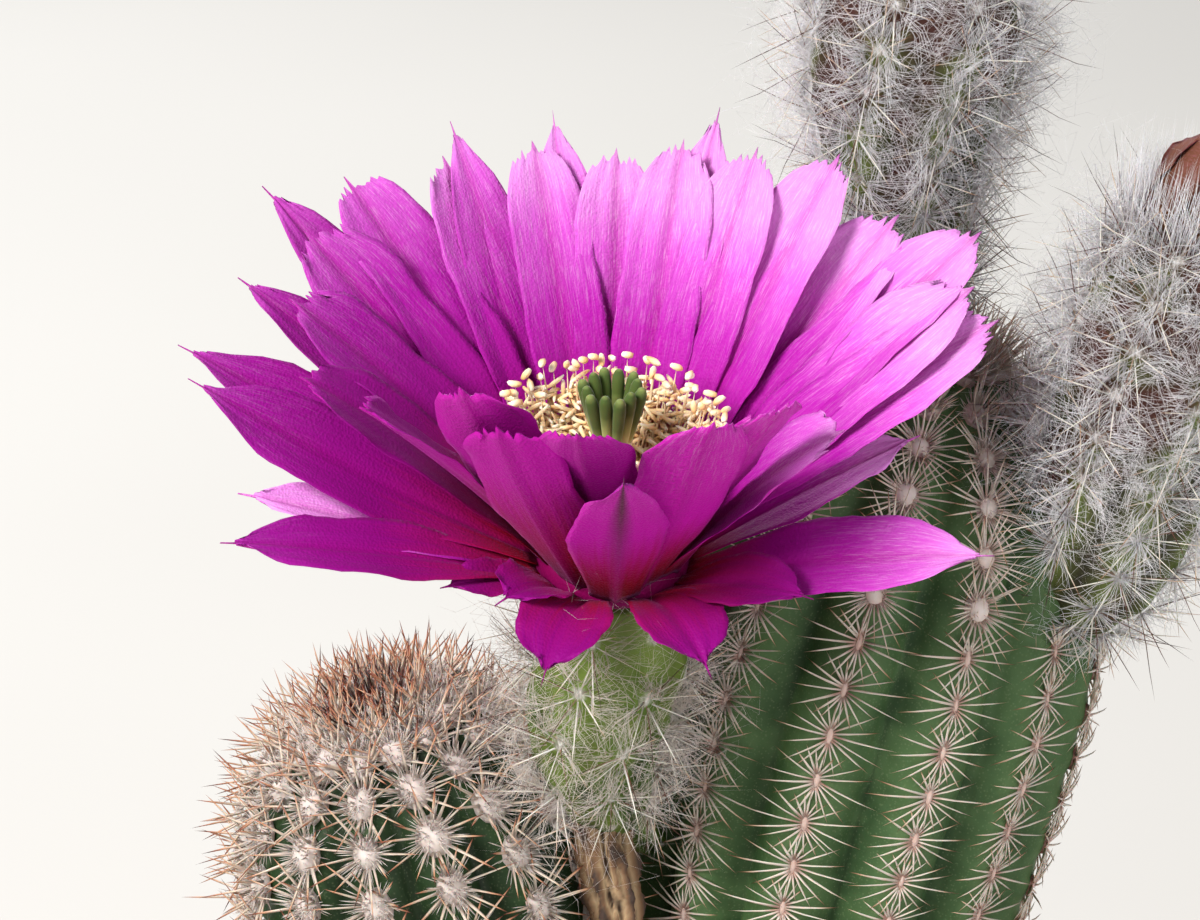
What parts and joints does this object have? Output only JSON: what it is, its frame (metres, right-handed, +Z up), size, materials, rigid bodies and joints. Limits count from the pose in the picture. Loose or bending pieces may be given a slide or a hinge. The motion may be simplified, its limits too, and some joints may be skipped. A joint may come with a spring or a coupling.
{
  "type": "potted hedgehog cactus in flower",
  "caption": "Ribbed, spiny cactus with an offset at its side, one open magenta flower, two woolly buds and a withered bloom, rooted in gritty soil in a plain clay pot.",
  "frame": {"origin": "centre of the pot's flat underside, on the surface that the pot stands on", "axes": "+Z up along the pot's axis; -Y towards the side the open flower nods to; +X towards the main stem and the side bud"},
  "size_m": [0.1265, 0.112, 0.2333],
  "materials": {
    "pot_clay": "unglazed fired clay, orange-brown, dry and slightly rough",
    "gritty_soil": "loose mineral grit and dark compost, fully matt",
    "main_stem_skin": "waxy green plant skin, satin, with cream spines from brownish felted cushions",
    "offset_stem_skin": "younger, darker green skin with white wool and brown-tipped spines",
    "woolly_tube": "yellow-green floral tube under white wool and fine bristles",
    "magenta_petal": "silky magenta petal, paler and glistening towards the tip",
    "pollen_yellow": "dusty pale yellow anthers on thin cream filaments",
    "green_stigma": "velvety green stigma lobes on a cream style",
    "bud_tepal": "closed tepals, brownish pink with olive midribs, soft sheen",
    "dry_husk": "papery straw-brown withered flower"
  },
  "bodies": {
    "root": {"pot": "pot_clay", "soil": "gritty_soil", "main_stem": "main_stem_skin", "offset_stem": "offset_stem_skin", "flower_tube": "woolly_tube", "flower_petals": "magenta_petal", "flower_stamens": "pollen_yellow", "flower_pistil": "green_stigma", "crown_bud": "woolly_tube", "crown_bud_tepals": "bud_tepal", "side_bud": "woolly_tube", "side_bud_tepals": "bud_tepal", "dried_flower": "dry_husk"}
  },
  "joints": []
}
